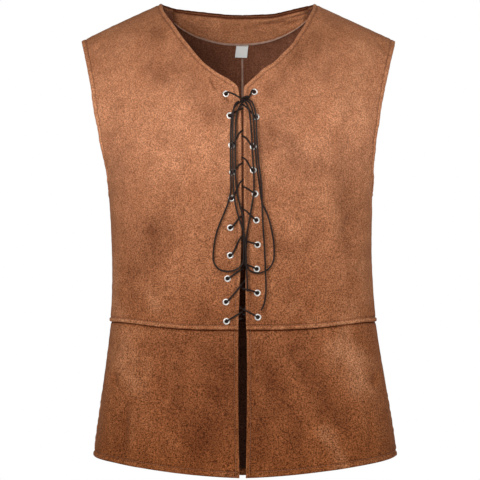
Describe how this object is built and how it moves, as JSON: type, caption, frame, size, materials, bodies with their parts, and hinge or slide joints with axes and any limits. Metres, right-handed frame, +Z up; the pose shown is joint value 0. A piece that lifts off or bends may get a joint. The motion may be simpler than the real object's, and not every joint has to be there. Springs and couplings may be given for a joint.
{
  "type": "laced medieval vest",
  "caption": "Sleeveless historic-costume vest of brown faux suede with a flared skirt below the waist seam, closed in front by a lace through metal eyelets and tied in a bow.",
  "frame": {"origin": "the middle of the neck opening, level with the neck ends of the shoulder seams, where the wearer's shoulders hold the vest", "axes": "+Z up, the front faces -Y, and +X is the wearer's left side"},
  "size_m": [0.4703, 0.2737, 0.7162],
  "materials": {
    "suede": "matt napped faux suede, mid brown, mottled",
    "suede_facing": "the same suede, a little darker, inside the back neck",
    "label_tape": "off-white woven tape, bare",
    "eyelet_metal": "pressed metal, satin",
    "lace": "round waxed cord, near black, slight gloss"
  },
  "bodies": {
    "root": {"front_upper_left": "suede", "front_upper_right": "suede", "back_upper_left": "suede", "back_upper_right": "suede", "front_skirt_left": "suede", "front_skirt_right": "suede", "back_skirt": "suede", "neck_facing": "suede_facing", "neck_label": "label_tape", "lacing_left": "lace", "lacing_right": "lace", "bow_knot": "lace", "bow_loop_left": "lace", "bow_loop_right": "lace", "lace_end_left": "lace", "lace_end_right": "lace", "eyelet_left_01": "eyelet_metal", "eyelet_left_02": "eyelet_metal", "eyelet_left_03": "eyelet_metal", "eyelet_left_04": "eyelet_metal", "eyelet_left_05": "eyelet_metal", "eyelet_left_06": "eyelet_metal", "eyelet_left_07": "eyelet_metal", "eyelet_left_08": "eyelet_metal", "eyelet_left_09": "eyelet_metal", "eyelet_left_10": "eyelet_metal", "eyelet_right_01": "eyelet_metal", "eyelet_right_02": "eyelet_metal", "eyelet_right_03": "eyelet_metal", "eyelet_right_04": "eyelet_metal", "eyelet_right_05": "eyelet_metal", "eyelet_right_06": "eyelet_metal", "eyelet_right_07": "eyelet_metal", "eyelet_right_08": "eyelet_metal", "eyelet_right_09": "eyelet_metal", "eyelet_right_10": "eyelet_metal"}
  },
  "joints": []
}
